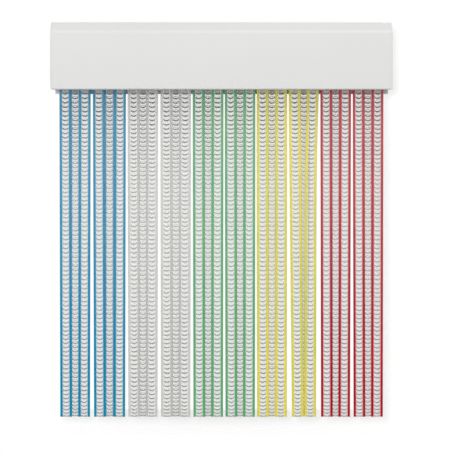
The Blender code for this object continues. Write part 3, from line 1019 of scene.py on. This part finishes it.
def cap_rings(side, inner, outer, lift):
    """A plate's outline at its inner face, then drawn in round its outer rim.

    The foot stays square, and rises a little towards the wall.
    """
    depth, height = pelmet_size()
    edge = [(depth, lift), *front_path(), (0, height)]
    stations = [(inner, 0.0)]
    for angle in (math.pi / 2 * step / CAP_RIM_STEPS for step in range(CAP_RIM_STEPS + 1)):
        stations.append((
            outer - CAP_ROUND * (1 - math.sin(angle)), CAP_RIM_INSET * (1 - math.cos(angle))
        ))
    rings = []
    for x, inset in stations:
        outline = [(0, lift + CAP_FOOT_RISE), *inset_path(edge, inset)]
        rings.append([(side * x, *head_place(*point)) for point in outline])
    return rings


def cap_head():
    """The two end plates with soft rims, and the tabs that hold them."""
    finish = white_moulding()
    for node, side in (("end_cap_left", -1), ("end_cap_right", 1)):
        low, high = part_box(node)
        outer = max(abs(low.x), abs(high.x))
        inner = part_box("pelmet")[1].x + FIT_GAP
        lift = low.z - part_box("pelmet")[0].z
        shape = bmesh.new()
        sweep(shape, cap_rings(side, inner, outer, lift))
        front = pelmet_size()[0] - PELMET_WALL - FIT_GAP - TAB_WALL
        back = RAIL_WALL + FIT_GAP
        reach = sorted((side * (inner - TAB_REACH), side * (inner + FIT_GAP)))
        for start, (foot, top) in ((front, FRONT_TAB_LEVELS), (back, BACK_TAB_LEVELS)):
            end = start + TAB_WALL
            corners = [(start, foot), (start, top), (end, top), (end, foot)]
            prism(shape, [head_place(*corner) for corner in corners], *reach)
        mesh = finished_mesh(shape, node + "_plate", finish)
        for polygon in mesh.polygons:
            polygon.use_smooth = abs(polygon.normal.x) < FLAT_END
        new_piece(node + "_plate", mesh, "head", "white_pvc", node)


def clip_outline():
    """A C that snaps over the bead, with its mouth up so that it can swing past the arm."""
    start = math.pi / 2 - CLIP_MOUTH_HALF_ANGLE
    end = start - 2 * (math.pi - CLIP_MOUTH_HALF_ANGLE)
    outer = arc((0, 0), CLIP_BORE + CLIP_WALL, start, end, COARSE_ARC_STEP)
    return outer + arc((0, 0), CLIP_BORE, end, start, COARSE_ARC_STEP)


def lug_outline():
    """A plate that hangs from the clip and widens to hold both bars."""
    top = -(CLIP_BORE + CLIP_WALL / 2)
    front = arc(
        (-FRONT_BAR_FORWARD, -BAR_DROP), LUG_RADIUS, math.pi, math.pi * 3 / 2, COARSE_ARC_STEP
    )
    rear = arc((REAR_BAR_BACK, -BAR_DROP), LUG_RADIUS, -math.pi / 2, 0, COARSE_ARC_STEP)
    return [(-NECK_HALF_WIDTH, top), *front, *rear, (NECK_HALF_WIDTH, top)]


def hanger_mesh(material):
    """A clip with two lugs, the long front bar and the short rear bar between them."""
    shape = bmesh.new()
    prism(shape, clip_outline(), -CLIP_LENGTH / 2, CLIP_LENGTH / 2)
    for side in (-1, 1):
        ends = sorted((side * LUG_INSIDE, side * (LUG_INSIDE + LUG_WALL)))
        prism(shape, lug_outline(), *ends)
    bmesh.ops.recalc_face_normals(shape, faces=shape.faces)
    soften_edges(shape, MOULDED_EDGE, 2)
    end = FRONT_BAR_LENGTH / 2
    head = end - BAR_HEAD_LENGTH
    crown = end - BAR_HEAD_LENGTH / 3
    end_radius = BAR_HEAD_RADIUS * BAR_END_SHARE
    front_bar = [
        (-end, end_radius), (-crown, BAR_HEAD_RADIUS), (-head, BAR_RADIUS),
        (head, BAR_RADIUS), (crown, BAR_HEAD_RADIUS), (end, end_radius),
    ]
    turned(shape, front_bar, BAR_SIDES, 0, (0, -FRONT_BAR_FORWARD, -BAR_DROP))
    rear = LUG_INSIDE + LUG_WALL / 2
    rear_bar = [(-rear, BAR_RADIUS), (rear, BAR_RADIUS)]
    turned(shape, rear_bar, BAR_SIDES, 0, (0, REAR_BAR_BACK, -BAR_DROP))
    sort_by_place(shape)
    return finished_mesh(shape, "hanger", material)


def clip_hangers():
    """The same hanger on each place along the bead."""
    first = hanger_mesh(natural_nylon())
    for body in sorted(name for name in frame["bodies"] if name.startswith("hanger")):
        mesh = first.copy()
        mesh.transform(Matrix.Translation(joint_place(body + "_swing")))
        new_piece(body + "_clip", mesh, body, "nylon", body)


def screw_radius(along, angle, length):
    """The radius of a threaded shank, which narrows to a point at its end."""
    turn = (along / THREAD_PITCH - angle / (2 * math.pi)) % 1.0
    crest = 1 - min(abs(turn - 0.5) * THREAD_SLOPE, 1)
    taper = min((length - along) / SCREW_POINT, 1)
    return (THREAD_ROOT_RADIUS + (THREAD_RADIUS - THREAD_ROOT_RADIUS) * crest) * taper


def screw_mesh(node, material):
    """A pan-head screw: its head on the rail, its threaded shank in the wall."""
    low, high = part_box(node)
    x = (low.x + high.x) / 2
    z = (low.z + high.z) / 2
    shape = bmesh.new()
    seat = low.y + SCREW_HEAD_HEIGHT
    crown = SCREW_HEAD_HEIGHT * SCREW_CROWN_SHARE
    dome = arc((crown, SCREW_HEAD_RADIUS - crown), crown, math.pi, math.pi / 2, COARSE_ARC_STEP)
    profile = [(low.y + deep, radius) for deep, radius in dome] + [(seat, SCREW_HEAD_RADIUS)]
    turned(shape, profile, SCREW_SIDES, 1, (x, 0, z))
    length = high.y - seat
    rows = round(length / THREAD_PITCH * THREAD_ROWS)
    rings = []
    for row in range(rows + 1):
        along = length * row / rows
        ring = []
        for side in range(SCREW_SIDES):
            angle = 2 * math.pi * side / SCREW_SIDES
            radius = max(screw_radius(along, angle, length), SCREW_TIP_RADIUS)
            ring.append((
                x + radius * math.cos(angle), seat + along, z + radius * math.sin(angle)
            ))
        rings.append(ring)
    sweep(shape, rings)
    return finished_mesh(shape, node, material, THREAD_SMOOTH_BELOW)


def drive_screws():
    """Both screws, each in its place in the rail."""
    finish = zinc_plate()
    for node in ("wall_screw_left", "wall_screw_right"):
        new_piece(node + "_turned", screw_mesh(node, finish), "head", "zinc_steel", node)


def dress_rail():
    """The rail keeps its solid, and takes the mill finish."""
    rail = frame["nodes"]["head_rail"]
    rail.data.materials.clear()
    rail.data.materials.append(mill_aluminium())


# Studio


def place_camera():
    """A level camera, whose pixels are one pixel size wide at the pelmet's front."""
    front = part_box("pelmet")[0].y
    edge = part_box("pelmet")[0].z
    data = bpy.data.cameras.new("camera")
    data.sensor_width = SENSOR_WIDTH
    data.lens = SENSOR_WIDTH * CAMERA_DISTANCE / (PICTURE_PIXELS * PIXEL_SIZE)
    camera = bpy.data.objects.new("camera", data)
    height = edge - (PICTURE_PIXELS / 2 - PELMET_EDGE_ROW) * PIXEL_SIZE
    camera.location = (CAMERA_SIDE, front - CAMERA_DISTANCE, height)
    camera.rotation_euler = (math.pi / 2, 0, 0)
    bpy.context.scene.collection.objects.link(camera)
    bpy.context.scene.camera = camera


def tape_field():
    """The box around all the tapes."""
    boxes = [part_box(name) for name in frame["bodies"] if name.startswith("tape")]
    low = Vector(min(box[0][axis] for box in boxes) for axis in range(3))
    high = Vector(max(box[1][axis] for box in boxes) for axis in range(3))
    return low, high


def seen_directly(graph):
    """1 for the rays that see the background: straight, mirrored or through a clear piece."""
    path = graph.add("ShaderNodeLightPath").outputs
    straight = graph.maths("MAXIMUM", path["Is Camera Ray"], path["Is Glossy Ray"])
    return graph.maths("MAXIMUM", straight, path["Is Transmission Ray"])


def light_world(level):
    """A world that looks white, and lights the object to a level."""
    world = bpy.data.worlds.new("studio")
    bpy.context.scene.world = world
    world.use_nodes = True
    graph = Graph(world.node_tree)
    world.node_tree.nodes.clear()
    seen = seen_directly(graph)
    strength = graph.maths("MULTIPLY_ADD", seen, 1.0 - level, level)
    background = graph.add("ShaderNodeBackground", {"Strength": strength})
    background.inputs["Color"].default_value = (1, 1, 1, 1)
    result = graph.add("ShaderNodeOutputWorld")
    graph.feed(result.inputs["Surface"], background.outputs["Background"])


def add_lamp(name, centre, azimuth, elevation, distance, size, level):
    """A square lamp that lights a facing white surface at the centre to this level.

    The key throws the shadows and is too small to be mirrored, so it adds no highlights.
    """
    towards = Vector((
        math.sin(azimuth) * math.cos(elevation),
        -math.cos(azimuth) * math.cos(elevation),
        math.sin(elevation),
    ))
    data = bpy.data.lights.new(name, "AREA")
    data.shape = "SQUARE"
    data.size = size
    data.energy = level * math.pi**3 / 4 * distance**2
    lamp = bpy.data.objects.new(name, data)
    lamp.location = centre + towards * distance
    lamp.rotation_mode = "QUATERNION"
    lamp.rotation_quaternion = towards.to_track_quat("Z", "Y")
    lamp.visible_glossy = name != "key"
    bpy.context.scene.collection.objects.link(lamp)


def stage_plane(name, size, location, rotation, material):
    """A flat backdrop or floor of a size, with one finish."""
    mesh = bpy.data.meshes.new(name)
    shape = bmesh.new()
    bmesh.ops.create_grid(shape, x_segments=1, y_segments=1, size=0.5)
    shape.to_mesh(mesh)
    shape.free()
    mesh.transform(Matrix.Diagonal((*size, 1, 1)))
    plane = bpy.data.objects.new(name, mesh)
    plane.location = location
    plane.rotation_euler = rotation
    plane.data.materials.append(material)
    bpy.context.scene.collection.objects.link(plane)


def in_window(graph, place, low, high, softness):
    """1 inside a rectangle of the wall and 0 outside it, with soft edges."""
    inside = 1.0
    for axis in range(2):
        past = graph.smooth_step(place[axis], low[axis], low[axis] + softness)
        short = graph.smooth_step(place[axis], high[axis] - softness, high[axis])
        kept = graph.maths("MULTIPLY", graph.maths("SUBTRACT", 1.0, past), short)
        inside = graph.maths("MULTIPLY", kept, inside)
    return inside


def shadow_rim(graph, centre):
    """1 where the camera sees the shadow: right of the head and tapes, and below them.

    The light comes from the upper left, so the window that hides the rest of the shadow
    reaches past the object on those two sides.
    """
    camera = bpy.context.scene.camera.location
    reach = (WALL_GAP - camera.y) / -camera.y
    place = graph.add(
        "ShaderNodeSeparateXYZ", {"Vector": graph.add("ShaderNodeTexCoord").outputs["Object"]}
    ).outputs
    windows = []
    for lit_side, dark_side, softness in (
        (RIM_REACH, -RIM_INSET, RIM_INSET),
        (RIM_WIDTH, RIM_WIDTH, RIM_WIDTH * RIM_FADE_SHARE),
    ):
        found = 0.0
        for low, high in (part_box("pelmet"), tape_field()):
            corners = []
            for x, z in (
                (low.x - lit_side, low.z - dark_side), (high.x + dark_side, high.z + lit_side)
            ):
                corners.append((
                    camera.x + (x - camera.x) * reach - centre.x,
                    camera.z + (z - camera.z) * reach - centre.z,
                ))
            found = graph.maths(
                "MAXIMUM", in_window(graph, place, *corners, softness), found
            )
        windows.append(found)
    return graph.maths("MULTIPLY", windows[1], graph.maths("SUBTRACT", 1.0, windows[0]))


def wall_film(centre):
    """A thin white veil that shows only from its front, and holds the object's shadow."""
    material = bpy.data.materials.new("wall_film")
    material.use_nodes = True
    tree = material.node_tree
    tree.nodes.clear()
    graph = Graph(tree)
    facing = graph.add("ShaderNodeNewGeometry").outputs["Backfacing"]
    front = graph.maths("SUBTRACT", 1.0, facing)
    seen = graph.maths("MULTIPLY", seen_directly(graph), front)
    rim = shadow_rim(graph, centre)
    veil = graph.maths("MULTIPLY", graph.maths("MULTIPLY", seen, rim), WALL_VEIL)
    clear = graph.add("ShaderNodeBsdfTransparent").outputs[0]
    white = graph.add("ShaderNodeBsdfDiffuse", {"Color": (1, 1, 1, 1)}).outputs[0]
    glow = graph.add("ShaderNodeEmission", {"Strength": WALL_GLOW}).outputs[0]
    lit = graph.add("ShaderNodeAddShader", {0: white, 1: glow}).outputs[0]
    mix = graph.add("ShaderNodeMixShader", {0: veil, 1: clear, 2: lit})
    result = graph.add("ShaderNodeOutputMaterial")
    graph.feed(result.inputs["Surface"], mix.outputs[0])
    return material


def pale_floor():
    """A floor that keeps a soft shadow, and is hidden from below.

    It fades to white at its rim and towards the wall.
    """
    material = bpy.data.materials.new("pale_floor")
    material.use_nodes = True
    tree = material.node_tree
    tree.nodes.clear()
    graph = Graph(tree)
    place = graph.add("ShaderNodeTexCoord").outputs["Object"]
    reach = graph.add("ShaderNodeVectorMath", {0: place}, operation="LENGTH").outputs["Value"]
    near = graph.smooth_step(reach, *(FLOOR_SIZE * share for share in FLOOR_FADE_SHARES))
    depth = graph.add("ShaderNodeSeparateXYZ", {"Vector": place}).outputs["Y"]
    before_wall = graph.smooth_step(depth, *FLOOR_BACK_FADE)
    share = graph.maths("MULTIPLY", graph.maths("MULTIPLY", near, before_wall), FLOOR_SHADE)
    glow = graph.add("ShaderNodeEmission", {"Strength": 1.0}).outputs[0]
    white = graph.add("ShaderNodeBsdfDiffuse", {"Color": FLOOR_WHITE}).outputs[0]
    pale = graph.add("ShaderNodeMixShader", {0: share, 1: glow, 2: white}).outputs[0]
    clear = graph.add("ShaderNodeBsdfTransparent").outputs[0]
    matte = graph.add("ShaderNodeMixShader", {0: seen_directly(graph), 1: clear, 2: pale})
    facing = graph.add("ShaderNodeNewGeometry").outputs["Backfacing"]
    both = graph.add("ShaderNodeMixShader", {0: facing, 1: matte.outputs[0], 2: clear})
    result = graph.add("ShaderNodeOutputMaterial")
    graph.feed(result.inputs["Surface"], both.outputs[0])
    return material


def build_studio():
    """The white world, the lamps, the film behind the object and the floor below it."""
    low, high = cad_box
    centre = (low + high) / 2
    light_world(WORLD_LEVEL)
    for name, azimuth, elevation, distance, size, level in LAMPS:
        turn = (math.radians(azimuth), math.radians(elevation))
        add_lamp(name, centre, *turn, distance, size, level)
    stage_plane(
        "wall", WALL_SIZE, (centre.x, WALL_GAP, centre.z), (math.pi / 2, 0, 0),
        wall_film(centre),
    )
    stage_plane(
        "floor", (FLOOR_SIZE, FLOOR_SIZE), (centre.x, 0, low.z - FLOOR_DROP), (0, 0, 0),
        pale_floor(),
    )
    settings = bpy.context.scene.view_settings
    settings.view_transform = "Standard"


place_camera()
hang_tapes()
clip_hangers()
cover_head()
cap_head()
drive_screws()
dress_rail()
build_studio()
